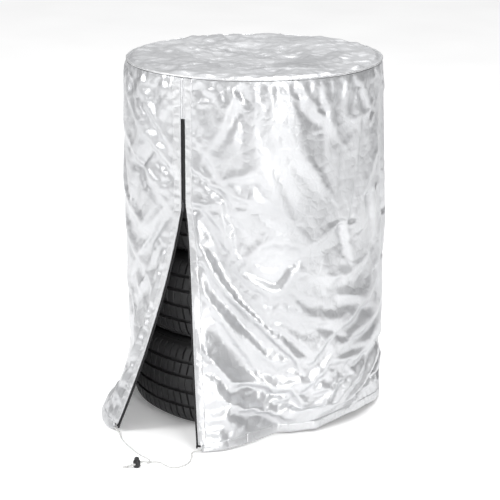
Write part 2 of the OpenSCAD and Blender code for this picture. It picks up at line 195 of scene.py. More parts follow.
# ------------------------------------------------------------------ materials
class Surface:
    """A node material on Principled BSDF: colour variation, roughness variation and a chain of bumps."""

    def __init__(self, name, **sockets):
        self.m = bpy.data.materials.new(name)
        self.m.use_nodes = True
        self.tree = self.m.node_tree
        self.bsdf = next(n for n in self.tree.nodes if n.type == "BSDF_PRINCIPLED")
        for socket, value in sockets.items():
            self.bsdf.inputs[socket.replace("_", " ")].default_value = value
        self.coords = self.node("ShaderNodeTexCoord").outputs["Object"]
        self.normal = None

    def node(self, kind, **inputs):
        n = self.tree.nodes.new(kind)
        for socket, value in inputs.items():
            n.inputs[socket.replace("_", " ")].default_value = value
        return n

    def link(self, a, b):
        self.tree.links.new(a, b)

    def noise(self, scale, detail=3.0, rough=0.5, distortion=0.0):
        n = self.node("ShaderNodeTexNoise", Scale=scale, Detail=detail, Roughness=rough,
                      Distortion=distortion)
        self.link(self.coords, n.inputs["Vector"])
        return n.outputs["Fac"]

    def creases(self, scale, warp=0.06):
        """Distance to the edges of warped cells, which reads as sharp creases."""
        n = self.node("ShaderNodeTexNoise", Scale=scale * 0.7, Detail=2.0)
        self.link(self.coords, n.inputs["Vector"])
        add = self.node("ShaderNodeVectorMath")
        add.operation = "MULTIPLY_ADD"
        add.inputs[1].default_value = (warp, warp, warp)
        self.link(n.outputs["Color"], add.inputs[0])
        self.link(self.coords, add.inputs[2])
        v = self.node("ShaderNodeTexVoronoi", Scale=scale)
        v.feature = "DISTANCE_TO_EDGE"
        self.link(add.outputs["Vector"], v.inputs["Vector"])
        return self.ramp(v.outputs["Distance"], [(0.0, (0, 0, 0, 1)), (0.22, (1, 1, 1, 1))])

    def wave(self, scale, direction="Z", distortion=0.0):
        w = self.node("ShaderNodeTexWave", Scale=scale, Distortion=distortion)
        w.bands_direction = direction
        self.link(self.coords, w.inputs["Vector"])
        return w.outputs["Fac"]

    def ramp(self, source, stops):
        r = self.node("ShaderNodeValToRGB")
        while len(r.color_ramp.elements) < len(stops):
            r.color_ramp.elements.new(0.5)
        for element, (place, colour) in zip(r.color_ramp.elements, stops):
            element.position, element.color = place, colour
        self.link(source, r.inputs["Fac"])
        return r.outputs["Color"]

    def colour(self, source, low, high, near=0.3, far=0.7):
        self.link(self.ramp(source, [(near, (*low, 1)), (far, (*high, 1))]), self.bsdf.inputs["Base Color"])
        return self

    def rough(self, source, low, high):
        self.link(self.ramp(source, [(0.3, (low,) * 3 + (1,)), (0.7, (high,) * 3 + (1,))]),
                  self.bsdf.inputs["Roughness"])
        return self

    def bump(self, source, strength, distance):
        b = self.node("ShaderNodeBump", Strength=strength, Distance=distance)
        self.link(source, b.inputs["Height"])
        if self.normal:
            self.link(self.normal, b.inputs["Normal"])
        self.normal = b.outputs["Normal"]
        self.link(self.normal, self.bsdf.inputs["Normal"])
        return self


def silver(name, low, high, metallic=0.75, crumple=1.0):
    s = Surface(name, Metallic=metallic)
    s.colour(s.noise(5, 4), low, high).rough(s.noise(9, 3), 0.36, 0.48)
    s.bump(s.creases(16, 0.05), 0.22 * crumple, 0.003)
    s.bump(s.creases(46, 0.02), 0.25 * crumple, 0.0012)
    s.bump(s.noise(70, 4, 0.6, distortion=0.5), 0.3 * crumple, 0.0015)
    s.bump(s.noise(1400, 1), 0.12, 0.0002)
    return s.m


SILVER = silver("silver_coated_cloth", (0.50, 0.506, 0.518), (0.66, 0.666, 0.678))
SEAM = silver("seam_cloth", (0.52, 0.525, 0.535), (0.70, 0.705, 0.715), metallic=0.65, crumple=1.6)


def plain(name, low, high, scale, rough, bumps, **sockets):
    s = Surface(name, **sockets)
    s.colour(s.noise(scale, 4), low, high).rough(s.noise(scale * 2.3, 3), *rough)
    for kind, size, strength, distance in bumps:
        s.bump(s.wave(size) if kind == "wave" else s.noise(size, 4), strength, distance)
    return s.m


THREAD = plain("seam_thread", (0.62, 0.63, 0.65), (0.8, 0.8, 0.82), 300, (0.5, 0.7),
               [("noise", 900, 0.4, 0.0003)])
RUBBER = plain("tyre_rubber", (0.011, 0.011, 0.012), (0.034, 0.034, 0.035), 9, (0.58, 0.8),
               [("noise", 70, 0.25, 0.0012), ("noise", 900, 0.3, 0.0003)])
TAPE = plain("zip_tape_weave", (0.006, 0.006, 0.007), (0.018, 0.018, 0.02), 90, (0.65, 0.85),
             [("wave", 330, 0.5, 0.0003), ("noise", 1200, 0.4, 0.0002)])
COIL = plain("zip_coil_nylon", (0.005, 0.005, 0.005), (0.014, 0.014, 0.015), 200, (0.28, 0.42),
             [("noise", 900, 0.3, 0.0002)])
METAL = plain("painted_slider", (0.02, 0.02, 0.022), (0.06, 0.06, 0.065), 150, (0.3, 0.5),
              [("noise", 700, 0.3, 0.0002)], Metallic=0.6)
LOCK = plain("moulded_lock", (0.008, 0.008, 0.009), (0.02, 0.02, 0.021), 120, (0.38, 0.55),
             [("noise", 1500, 0.4, 0.0002)])
STEEL = plain("spring_steel", (0.42, 0.42, 0.43), (0.6, 0.6, 0.61), 200, (0.25, 0.35),
              [("noise", 800, 0.2, 0.0002)], Metallic=1.0)


def braid():
    s = Surface("braided_cord")
    s.colour(s.noise(240, 3), (0.46, 0.46, 0.45), (0.72, 0.72, 0.71)).rough(s.noise(400), 0.6, 0.8)
    s.bump(s.wave(150, "DIAGONAL"), 0.7, 0.0006).bump(s.noise(1500, 2), 0.5, 0.0003)
    return s.m


CORD = braid()

# ------------------------------------------------------------------ the drawcord, its lock and knot
# Free stretches in mm, with the same points as part.scad
LEFT_ROUTE = [
    (-128, -440, 5), (-112, -453, 3), (-100, -466, 2), (-88, -478, 2), (-76, -487, 2),
    (-64, -496, 2), (-52, -504, 2), (-40, -511, 2), (-28, -519, 2), (-16, -526, 2), (-4, -533, 2),
    (8, -539, 2), (20, -544, 2), (30, -547, 2), (40, -551, 2), (49, -556, 2), (55, -563, 2),
    (55, -571, 2.6), (53, -577, 5), (51, -582, 7.5), (49.2, -588, 9), (44.9, -604.4, 9),
    (42.6, -613, 9), (39, -616.5, 7.5), (36, -618, 5.5)]
RIGHT_ROUTE = [
    (119, -450, 5), (113, -457, 3.5), (113, -467, 2.5), (119, -476, 2), (126, -486, 2),
    (131, -498, 2), (137, -511, 2), (140, -525, 2), (140, -540, 2), (136, -554, 2),
    (128, -565, 2), (117, -568, 2), (105, -565, 2), (93, -560, 2), (81, -556, 2), (70, -557, 2),
    (62, -563, 2), (59, -571, 2.6), (57.2, -577, 5), (55.4, -583, 7.5), (53.6, -589, 9),
    (49.1, -605.6, 9), (46.8, -614, 9), (43, -618.5, 7.5), (37, -621, 5.5)]


def swings(obj):
    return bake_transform(obj)


def add_cords():
    """The two free stretches, each held by its flap's hem at one end and by the lock at the other."""
    for side, name, route in ((-1, "drawcord_left", LEFT_ROUTE), (1, "drawcord_right", RIGHT_ROUTE)):
        az = edge_at(side, HEM_Z, HEM_INSET) - side * 0.1
        start = wall(az, HEM_Z + CORD_RISE, HEM_MID)
        path = smooth_route([start * 1000] + route) / 1000
        n = np.arange(len(path))
        cord = tube_object(name + "_cord", path, CORD_D / 2 * (0.97 + 0.03 * np.sin(n * 1.9)), CORD)
        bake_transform(cord)
        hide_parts(name)


def softened(node, name, material, width, segments=2):
    """A copy of a CAD node with its edges rounded, which replaces the node."""
    obj = add_object(name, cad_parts[node].data.copy(), None, smooth=False)
    obj.data.materials.clear()
    obj.data.materials.append(material)
    weld = obj.modifiers.new("weld", "WELD")
    weld.merge_threshold = 1e-5
    bevel = obj.modifiers.new("bevel", "BEVEL")
    bevel.width, bevel.segments = width, segments
    bevel.limit_method, bevel.angle_limit = "ANGLE", math.radians(40)
    bake(obj)
    obj.data.shade_smooth()
    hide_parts(node)
    return obj


def bake(obj):
    """Applies the object's modifiers."""
    bpy.context.view_layer.update()
    shown = obj.evaluated_get(bpy.context.evaluated_depsgraph_get())
    data = bpy.data.meshes.new_from_object(shown)
    obj.modifiers.clear()
    obj.data = data


def add_knot():
    """Overhand knot: a ball of three crossing turns, with the cords' tails going through it."""
    t = np.linspace(0, 2 * math.pi, 90, endpoint=False)
    x = (np.sin(t) + 2 * np.sin(2 * t)) * 0.00075
    y = (np.cos(t) - 2 * np.cos(2 * t)) * 0.00075
    z = -np.sin(3 * t) * 0.0011
    route = np.stack([x, y, z], -1) + np.array(KNOT_AT)
    knot = tube_object("end_knot_turns", route, CORD_D * 0.42, CORD, closed=True)
    tail = smooth_route(np.array([
        (0.033, -0.619, 0.0044), (0.0305, -0.6222, 0.0026), (0.0279, -0.6256, 0.002),
        (0.0245, -0.6276, 0.002), (0.0223, -0.6252, 0.002), (0.0228, -0.6215, 0.002),
        (0.0262, -0.6196, 0.002), (0.0296, -0.6212, 0.0026), (0.0325, -0.620, 0.004)]))
    loop = tube_object("end_knot_loop", tail, CORD_D * 0.48, CORD)
    for piece in (knot, loop):
        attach(piece, "cover")
        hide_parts("end_knot")
    return [knot, loop]


def add_lock():
    barrel = softened("cord_lock_barrel", "cord_lock_barrel_moulding", LOCK, 0.0006)
    plunger = softened("cord_lock_plunger", "cord_lock_button", LOCK, 0.0006)
    for piece, body in ((barrel, "cord_lock"), (plunger, "lock_plunger")):
        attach(piece, body)
    return [barrel, plunger]


lock_pieces = add_lock() + add_knot()
add_cords()

# ------------------------------------------------------------------ folds in the cover
# Each fold: its line as (azimuth, height) points, then half width, height, and how much steeper it is below
FOLDS = [
    # left of the zip, long diagonals from the top seam down to the zip
    ([(-44, .84), (-20, .74), (-1.5, .66)], .016, .010, 1.7),
    ([(-30, .88), (-14, .78), (-2.5, .70)], .011, .006, 1.5),
    ([(-60, .80), (-34, .70), (-6, .60)], .018, .010, 1.6),
    ([(-25, .66), (-8, .58), (-3, .53)], .012, .006, 1.4),
    ([(-75, .70), (-48, .58), (-20, .50)], .022, .011, 1.5),
    ([(-50, .50), (-30, .42), (-14, .33)], .020, .010, 1.6),
    ([(-62, .38), (-40, .30), (-22, .20)], .020, .009, 1.4),
    ([(-9, .46), (-14, .33), (-18, .20)], .012, .005, 1.0),
    ([(-17, .25), (-19, .15), (-24, .07)], .010, .005, 1.0),
    ([(-90, .55), (-70, .40), (-58, .22)], .020, .009, 1.3),
    # just right of the zip
    ([(24, .86), (17, .77), (11, .71)], .012, .009, 1.6),
    ([(24, .88), (30, .84)], .008, -.007, 1.0),
    ([(2.5, .585), (10, .592), (20, .600)], .009, .008, 1.8),
    ([(4, .548), (13, .437), (22, .372), (31, .316)], .016, .010, 1.7),
    ([(7, .425), (16, .344), (25, .262), (37, .150)], .020, .012, 1.8),
    ([(13, .25), (16, .216)], .010, .006, 1.2),
    ([(1.8, .70), (7, .665), (13, .66)], .008, .005, 1.3),
    ([(2, .50), (8, .49)], .007, .004, 1.3),
    # the big fold across the middle, with the dark wedge under it
    ([(14, .655), (26, .668), (35, .680), (46, .575)], .014, .009, 1.9),
    ([(15, .640), (34, .606), (50, .560)], .012, .008, 1.9),
    ([(28, .446), (42, .412), (50, .480)], .014, -.010, 1.0),
    ([(30, .475), (40, .520), (56, .500), (70, .53)], .020, .012, 1.8),
    ([(42, .75), (55, .70), (66, .62)], .018, .009, 1.5),
    ([(65, .775), (82, .79), (101, .82)], .018, .010, 1.5),
    ([(52, .84), (64, .80), (72, .74)], .014, .007, 1.4),
    ([(36, .82), (46, .78), (52, .72)], .014, .007, 1.4),
    # low right: the folded crease and the fan of pulls over the hem
    ([(17, .212), (24, .158), (37, .142), (48, .130), (56, .062)], .012, .010, 2.0),
    ([(43, .275), (52, .185)], .012, .007, 1.4),
    ([(59, .205), (67, .262)], .012, .007, 1.4),
    ([(52, .12), (65, .172)], .011, .006, 1.4),
    ([(59, .03), (66, .08), (74, .140)], .010, .008, 1.5),
    ([(60, .03), (76, .09), (94, .162)], .012, .010, 1.6),
    ([(62, .027), (85, .08), (108, .168)], .014, .011, 1.6),
    ([(74, .27), (88, .325), (104, .366)], .015, .010, 1.6),
    ([(86, .245), (106, .282)], .012, .008, 1.5),
    ([(25, .10), (38, .07), (50, .035)], .012, .007, 1.3),
    # right side
    ([(80, .655), (76, .54), (79, .45)], .012, .008, 1.2),
    ([(107, .725), (95, .68), (88, .60)], .014, .009, 1.4),
    ([(99, .71), (96, .60), (99, .48)], .014, .008, 1.2),
    ([(60, .42), (76, .40), (92, .44)], .018, .009, 1.6),
    ([(84, .88), (92, .80), (90, .72)], .012, .007, 1.2),
    ([(70, .36), (84, .34), (98, .30)], .014, .007, 1.5),
    ([(108, .52), (104, .40), (110, .30)], .016, .010, 1.2),
    ([(112, .64), (120, .52), (118, .40)], .018, .010, 1.2),
]


FOLD_GAIN = 1.35


def unseen_folds(count=34):
    """Diagonal pulls on the back and the far left, which follow the style of the front."""
    rng = np.random.RandomState(11)
    folds = []
    for _ in range(count):
        az, z = rng.uniform(122, 268), rng.uniform(0.08, 0.84)
        run, drop = rng.uniform(12, 34) * rng.choice([-1, 1]), rng.uniform(0.03, 0.16)
        bow = rng.uniform(-0.02, 0.02)
        turn = lambda a: a - 360 if a > 180 else a
        line = [(az - run / 2, z + drop / 2), (az, z + bow), (az + run / 2, z - drop / 2)]
        folds.append((line, rng.uniform(0.011, 0.022), rng.uniform(0.006, 0.011), rng.uniform(1.1, 1.8)))
    return folds


def fold_height(az, z, line, width, height, steep):
    """Outward height of one fold over the wall, with a shallow trough under it and tapered ends."""
    best = np.full(np.shape(az), 1e9)
    across_best, along_best = np.zeros(np.shape(az)), np.zeros(np.shape(az))
    pts = [np.array((math.radians(a) * COVER_R, h)) for a, h in line]
    lengths = [np.linalg.norm(b - a) for a, b in zip(pts, pts[1:])]
    total, done = sum(lengths), 0.0
    for a, b, length in zip(pts, pts[1:], lengths):
        u = (b - a) / length
        for turn in (-360, 0, 360):
            sx, sz = np.radians(az + turn) * COVER_R - a[0], z - a[1]
            t = np.clip(sx * u[0] + sz * u[1], 0, length)
            dx, dz = sx - t * u[0], sz - t * u[1]
            far = np.hypot(dx, dz)
            upper = np.where(sz * abs(u[0]) - sx * u[1] * np.sign(u[0] or 1) >= 0, 1.0, -1.0)
            near = far < best
            best = np.where(near, far, best)
            across_best = np.where(near, far * upper, across_best)
            along_best = np.where(near, (done + t) / total, along_best)
        done += length
    taper = np.sin(np.clip(along_best * 0.92 + 0.04, 0, 1) * math.pi) ** 0.6
    above = 1 / (1 + (across_best / (1.9 * width)) ** 2) ** 1.5
    below = np.exp(-np.abs(across_best * steep / width) ** 1.4)
    trough = 0.4 * np.exp(-((across_best + 1.7 * width) / (1.2 * width)) ** 2)
    return height * taper * (np.where(across_best >= 0, above, below) - trough)


def crumple(points, scale, seed):
    """Creased cells, as crumpled coated cloth folds: between -1 and 1."""
    out = np.empty(len(points))
    for i, p in enumerate(points):
        q = Vector(p) * scale + Vector((seed, seed * 0.7, -seed))
        q += 0.5 * noise.noise_vector(q * 0.8)
        d = noise.voronoi(q, distance_metric="DISTANCE", exponent=2.5)[0]
        out[i] = d[1] - d[0]
    return 1 - 2.2 * out


def soft_noise(points, scale, seed):
    return np.array([noise.noise(Vector(p) * scale + Vector((seed, -seed, seed))) for p in points])


def puckers(az, z):
    """Short gathers across the zip's facings and under the top seam, where stitching draws the cloth in."""
    side = np.where(az < 0, -1, 1)
    edge = np.where(az < 0, edge_at(-1, z, FLAP_INSET), edge_at(1, z, FLAP_INSET))
    inside = np.radians((az - edge) * side) * COVER_R
    by_zip = soft_noise(np.stack([side * 2.0 + 0 * az, inside * 14, z * 52], -1).reshape(-1, 3), 1.0, 2.5)
    by_seam = soft_noise(
        np.stack([np.radians(az) * COVER_R * 42, z * 9, 0 * az], -1).reshape(-1, 3), 1.0, 6.5)
    zip_share = np.exp(-((inside - 0.018) / 0.017) ** 2)
    seam_share = np.exp(-((WALL_TOP - z) / 0.035) ** 2) * ease((WALL_TOP - z) / 0.006)
    return 0.0026 * by_zip.reshape(az.shape) * zip_share + 0.003 * by_seam.reshape(az.shape) * seam_share


def relief(az, z):
    """How far the cloth stands from its plain wall, outward, at each azimuth and height."""
    az, z = np.broadcast_arrays(np.asarray(az, float), np.asarray(z, float))
    flat = at(az, COVER_R, z).reshape(-1, 3)
    total = np.zeros(az.shape)
    for line, width, height, steep in FOLDS + unseen_folds():
        total += fold_height(az, z, line, width, FOLD_GAIN * height, steep)
    big = crumple(flat * np.array((1, 1, 0.8)), 9.0, 3.1).reshape(az.shape)
    small = crumple(flat, 24.0, 7.7).reshape(az.shape)
    swell = soft_noise(flat, 5.0, 2.0).reshape(az.shape)
    top = ease((z - 0.76) / 0.11)
    patches = ease(0.5 + 1.6 * soft_noise(flat, 3.6, 5.0).reshape(az.shape))
    total += ((0.0022 + 0.0035 * top) * big + (0.0003 + 0.0009 * patches + 0.0018 * top) * small
              + 0.006 * swell)
    total = np.maximum(total, -0.0055)
    total += puckers(az, z)
    side = np.where(az < 0, -1, 1)
    edge = np.where(az < 0, edge_at(-1, z, FLAP_INSET), edge_at(1, z, FLAP_INSET))
    inside = np.radians((az - edge) * side) * COVER_R
    below_seam = ease((WALL_TOP - z) / 0.028)
    at_zip = 0.05 + 0.95 * ease(inside / 0.03)
    return total * at_zip * (0.12 + 0.88 * below_seam) - 0.0016 * ease(1 - (WALL_TOP - z) / 0.006)


def lift(az, z):
    """The hem hangs clear of the ground on the right, in low waves."""
    bump = np.exp(-((az - 84) / 22) ** 2) * 0.013 + 0.002 * (1 + np.sin(np.radians(az * 5)))
    front = ease((np.abs(az) - 18) / 14)
    return bump * front * ease(1 - z / 0.14)


def cloth_point(az, z, offset=0.0):
    return wall(az, z, relief(az, z) + offset) + np.stack(
        np.broadcast_arrays(0 * az, 0 * az, lift(az, z)), -1)


# ------------------------------------------------------------------ cover: wall, facings and hem
NEAR_EDGE = np.array([6.4, 7.6, 9.6, 12, 15, 18, 21, 23.5, 26, 29, 33, 38, 43]) / 1000
FACING_COLS = 9                       # the columns of NEAR_EDGE that a facing covers
WALL_ROWS = np.concatenate([np.linspace(0.019, 0.86, 146), np.linspace(0.865, WALL_TOP, 9)])


def wall_azimuths(side, rows, around=168):
    near = np.stack([edge_at(side, rows, inset) for inset in NEAR_EDGE], 1)
    share = (np.arange(around) + 1) / around
    far = near[:, -1:] + (side * 180 - near[:, -1:]) * share
    return np.concatenate([near, far], 1)


SIM_COLS, SIM_FRAMES = 76, 26
# The most that the simulation moves a point, and that a fold stands proud of the plain wall
SIM_CAP, PROUD = 0.016, 0.0155
# The drum that stands for the tyres in the simulation, and the cloth's least radius
DRUM_R, CLOTH_MIN_R = 0.3165, 0.3182
SIM_ROWS = np.linspace(0.019, WALL_TOP, 64)


def settle():
    """How far each coarse point of the wall moves in a cloth simulation, cut a little too large."""
    az, z = [], np.repeat(SIM_ROWS[:, None], 2 * SIM_COLS - 1, 1)
    share = np.linspace(0, 1, SIM_COLS)
    for side in (-1, 1):
        edge = edge_at(side, SIM_ROWS, FLAP_INSET)[:, None]
        az.append(edge + (side * 180 - edge) * share)
    az = np.concatenate([az[0], az[1][:, ::-1][:, 1:]], 1)
    start = cloth_point(az, z)
    cloth = grid_object("sim_wall", start, None)
    inside = np.minimum(np.arange(2 * SIM_COLS - 1), np.arange(2 * SIM_COLS - 1)[::-1])
    held = np.clip(1.4 - inside / 2.5, 0, 1)[None, :] + 0 * z
    held = np.maximum(held, np.clip(1 - (WALL_TOP - z) / 0.022, 0, 1))
    held = np.maximum(held, np.clip(1 - (z - 0.022) / 0.03, 0, 1))
    group = cloth.vertex_groups.new(name="held")
    for i, weight in enumerate(held.reshape(-1)):
        group.add([i], float(weight), "REPLACE")
    turn = np.arange(96) * 3.75
    drum = np.stack([at(turn, DRUM_R, h + 0 * turn) for h in np.linspace(-0.02, 0.9, 12)])
    stack = grid_object("sim_stack", drum, None, wrap_cols=True)
    stack.modifiers.new("collision", "COLLISION")
    stack.collision.thickness_outer = 0.0015
    m = cloth.modifiers.new("cloth", "CLOTH")
    c = m.settings
    c.quality, c.mass, c.air_damping = 6, 0.16, 2.0
    c.tension_stiffness = c.compression_stiffness = 18
    c.shear_stiffness, c.bending_stiffness = 8, 0.05
    c.vertex_group_mass = "held"
    c.pin_stiffness = 8
    c.shrink_min = -0.03
    m.collision_settings.distance_min = 0.0015
    m.collision_settings.use_self_collision = False
    m.point_cache.frame_start, m.point_cache.frame_end = 1, SIM_FRAMES
    scene = bpy.context.scene
    for f in range(1, SIM_FRAMES + 1):
        scene.frame_set(f)
    shown = cloth.evaluated_get(bpy.context.evaluated_depsgraph_get())
    end = np.array([v.co for v in shown.data.vertices]).reshape(start.shape)
    bpy.data.objects.remove(cloth)
    bpy.data.objects.remove(stack)
    scene.frame_set(1)
    move = end - start
    far = np.linalg.norm(move, axis=2, keepdims=True)
    return move * np.minimum(1, SIM_CAP / np.maximum(far, 1e-9))


def cubic(values, place, axis):
    """Catmull-Rom interpolation of a grid along one axis, at fractional places."""
    values = np.moveaxis(values, axis, 0)
    n = len(values)
    i = np.clip(np.floor(place).astype(int), 0, n - 2)
    t = (place - i).reshape((-1,) + (1,) * (values.ndim - 1))
    a, b, c, d = (values[np.clip(i + k, 0, n - 1)] for k in (-1, 0, 1, 2))
    out = 0.5 * (2 * b + (c - a) * t + (2 * a - 5 * b + 4 * c - d) * t**2 + (3 * b - a - 3 * c + d) * t**3)
    return np.moveaxis(out, 0, axis)


def settled_move(move, side, az):
    """The simulation's moves at the wall's own columns and rows."""
    half = move[:, :SIM_COLS] if side < 0 else move[:, ::-1][:, :SIM_COLS]
    rows = (WALL_ROWS - SIM_ROWS[0]) / (SIM_ROWS[-1] - SIM_ROWS[0]) * (len(SIM_ROWS) - 1)
    half = cubic(half, rows, 0)
    edge = edge_at(side, WALL_ROWS, FLAP_INSET)[:, None]
    share = (az - edge) / (side * 180 - edge) * (SIM_COLS - 1)
    return np.stack([cubic(half[r], share[r], 0) for r in range(len(WALL_ROWS))])


def between_limits(points, az, z):
    """Keeps the cloth outside the tyres, and its folds close to the plain wall."""
    r = np.linalg.norm(points[..., :2], axis=-1)
    plain = wall_r(az, z)
    out = plain + np.where(r > plain, PROUD * np.tanh((r - plain) / PROUD), r - plain)
    points[..., :2] *= (np.maximum(out, CLOTH_MIN_R) / r)[..., None]
    return points


def add_walls():
    shapes = {}
    move = settle()
    for side in (-1, 1):
        az = wall_azimuths(side, WALL_ROWS)
        z = np.repeat(WALL_ROWS[:, None], az.shape[1], 1)
        points = cloth_point(az, z)
        if move is not None:
            points = points + settled_move(move, side, az)
        shapes[side] = (az, z, between_limits(points, az, z))
    # the halves meet at the back in one seam line
    seam = (shapes[-1][2][:, -1] + shapes[1][2][:, -1]) / 2
    for side, name in ((-1, "left"), (1, "right")):
        az, z, points = shapes[side]
        points[:, -1] = seam
        shown = points if side > 0 else points[:, ::-1]
        obj = grid_object(f"cover_wall_{name}", shown, SILVER)
        subdivide(obj)
        swings(obj)
        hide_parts("side_panel", f"{name}_flap")
        add_facing(side, name, points)
    return shapes


def subdivide(obj, levels=1):
    m = obj.modifiers.new("smooth", "SUBSURF")
    m.levels = m.render_levels = levels
    bake(obj)


def add_facing(side, name, points):
    """Sewn strip beside the zip: the wall's own columns, raised by one to three millimetres."""
    strip = points[:, :FACING_COLS].copy()
    normal = strip * np.array((1, 1, 0))
    normal /= np.linalg.norm(normal, axis=2)[..., None]
    rows = len(strip)
    insets = NEAR_EDGE[:FACING_COLS]
    pucker = np.array([[noise.noise(Vector((3.0 * side, inset * 60, z * 85))) for inset in insets]
                       for z in WALL_ROWS])
    shape = np.sin(np.linspace(0, math.pi, FACING_COLS)) ** 0.5
    strip += normal * (0.0009 + 0.0024 * shape[None, :] * (0.55 + pucker))[..., None]
    first, last = slice(0, 1), slice(FACING_COLS - 1, FACING_COLS)
    strip = np.concatenate([points[:, first] - normal[:, first] * 0.0008, strip,
                            points[:, last] - normal[:, last] * 0.0008], 1)
    split = int(np.searchsorted(WALL_ROWS, SLIDER_Z + 0.004))
    for low, high, part in ((0, split + 1, "flap"), (split, rows, "upper")):
        piece = strip[low:high]
        obj = grid_object(f"facing_{name}_{part}", piece if side > 0 else piece[:, ::-1], SEAM)
        subdivide(obj)
        if part == "flap":
            swings(obj)
            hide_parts(f"{name}_flap_facing")
        else:
            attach(obj, "cover")
            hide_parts(f"zip_facing_{name}")
    add_stitches(name, strip, (2, 8))


def stitch_mesh(name, lines, material, length=0.0030, gap=0.0016, radius=0.00038):
    """Rows of thread stitches along lines of points, each a small rounded bar."""
    points, faces = [], []
    bar = np.array([(-1, 0), (-0.8, 0.9), (0.8, 0.9), (1, 0)])
    for line in lines:
        step = np.linalg.norm(np.diff(line, axis=0), axis=1)
        place = np.concatenate([[0], np.cumsum(step)])
        for s in np.arange(gap, place[-1] - length, length + gap):
            mid = np.array([np.interp(s + length / 2, place, line[:, k]) for k in range(3)])
            end = np.array([np.interp(s + length, place, line[:, k]) for k in range(3)])
            along = end - mid
            along /= np.linalg.norm(along)
            out = mid * np.array((1, 1, 0))
            out /= np.linalg.norm(out)
            side = np.cross(along, out)
            base = len(points)
            for u, h in bar:
                for v in (-1, 1):
                    points.append(mid + along * u * length / 2 + out * (h * radius) + side * v * radius)
            for i in range(3):
                faces.append((base + 2 * i, base + 2 * i + 1, base + 2 * i + 3, base + 2 * i + 2))
            faces.append((base, base + 2, base + 4, base + 6))
            faces.append((base + 1, base + 7, base + 5, base + 3))
    return mesh_object(name, points, faces, material)


def add_stitches(name, strip, columns):
    split = int(np.searchsorted(WALL_ROWS, SLIDER_Z + 0.004))
    for low, high, part in ((1, split, "flap"), (split, len(strip) - 1, "upper")):
        lines = [strip[low:high, c] for c in columns]
        obj = stitch_mesh(f"stitches_{name}_{part}", lines, THREAD)
        if part == "flap":
            swings(obj)
        else:
            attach(obj, "cover")


def add_hem():
    """Sewn channel along the lower edge, gathered by the cord inside it."""
    spans = {
        "left_flap_hem": (-1, float(edge_at(-1, HEM_Z, HEM_INSET)), LEFT_HEM_FOLD),
        "hem_casing": (0, LEFT_HEM_FOLD, RIGHT_HEM_FOLD - 360),
        "right_flap_hem": (1, RIGHT_HEM_FOLD, float(edge_at(1, HEM_Z, HEM_INSET))),
    }
    section = np.array([(2.2, 0.2), (2.9, 3), (3.1, 8), (2.8, 14), (2.0, 19), (1.6, 21.6),
                        (-3.0, 21.6), (-3.6, 14), (-3.8, 6), (-3.0, 0.2)]) / 1000
    for name, (side, start, end) in spans.items():
        cols = max(12, int(abs(end - start) * 1.6))
        az = np.linspace(start, end, cols)
        az = np.where(az < -180, az + 360, az)
        base = relief(az, 0 * az + 0.027)
        flat = at(az, COVER_R, 0 * az)
        pucker = soft_noise(flat, 62, 4.0)
        fine = soft_noise(flat, 140, 9.0)
        up = lift(az, 0 * az + 0.01)
        rows = []
        for out, height in section:
            bulge = (0.0013 * pucker + 0.0006 * fine) * (1 if out > 0 else 0.4)
            z = HEM_Z + height + 0 * az
            p = wall(az, z, base + HEM_MID + out + bulge)
            p[:, 2] += up + 0.0008 * pucker * (1 if height > 0.01 else 0)
            rows.append(p)
        points = np.array(rows).transpose(1, 0, 2)
        rows_n, sides = points.shape[:2]
        quads = grid_quads(rows_n, sides, wrap_cols=True)
        quads += [tuple(reversed(range(sides))), tuple((rows_n - 1) * sides + k for k in range(sides))]
        obj = mesh_object(name + "_cloth", points, quads, SEAM)
        seam_line = points[:, 4] + (points[:, 4] * np.array((1, 1, 0))) * 0.0022
        stitches = stitch_mesh(name + "_stitches", [seam_line], THREAD)
        cord = tube_object(name.replace("casing", "cord_run") + "_cord",
                           wall(az, HEM_Z + CORD_RISE + 0 * az, base + HEM_MID)
                           + np.stack([0 * az, 0 * az, up], -1), CORD_D / 2 * 0.9, CORD, sides=8)
        for piece in (obj, stitches, cord):
            if side:
                swings(piece)
            else:
                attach(piece, "cover")
        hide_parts(name)
        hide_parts({"left_flap_hem": "left_flap_hem_cord", "hem_casing": "hem_cord",
                           "right_flap_hem": "right_flap_hem_cord"}[name])


def add_front_seam():
    """The two wall edges sewn together over the zip, pinched into a short wobbling seam."""
    z = np.linspace(ZIP_TOP - 0.004, WALL_TOP, 44)
    across = np.linspace(-1, 1, 15)
    wobble = np.array([noise.noise(Vector((4, 0, h * 40))) for h in z]) * 0.0022
    half = np.degrees(0.0070 / COVER_R)
    az = across[None, :] * half + np.degrees(wobble / COVER_R)[:, None] * (1 - across[None, :] ** 2)
    zz = np.repeat(z[:, None], 15, 1)
    tuck = (-0.0026 * np.exp(-((across[None, :]) / 0.16) ** 2)
            + 0.0016 * np.exp(-((np.abs(across[None, :]) - 0.45) / 0.25) ** 2))
    ends = relief(np.full_like(z, half * 1.02), z)[:, None], relief(np.full_like(z, -half * 1.02), z)[:, None]
    share = (across[None, :] + 1) / 2
    base = ends[1] * (1 - share) + ends[0] * share
    obj = grid_object("front_seam_cloth", wall(az, zz, base + tuck + 0.0003), SEAM)
    subdivide(obj)
    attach(obj, "cover")
    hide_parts("front_seam")


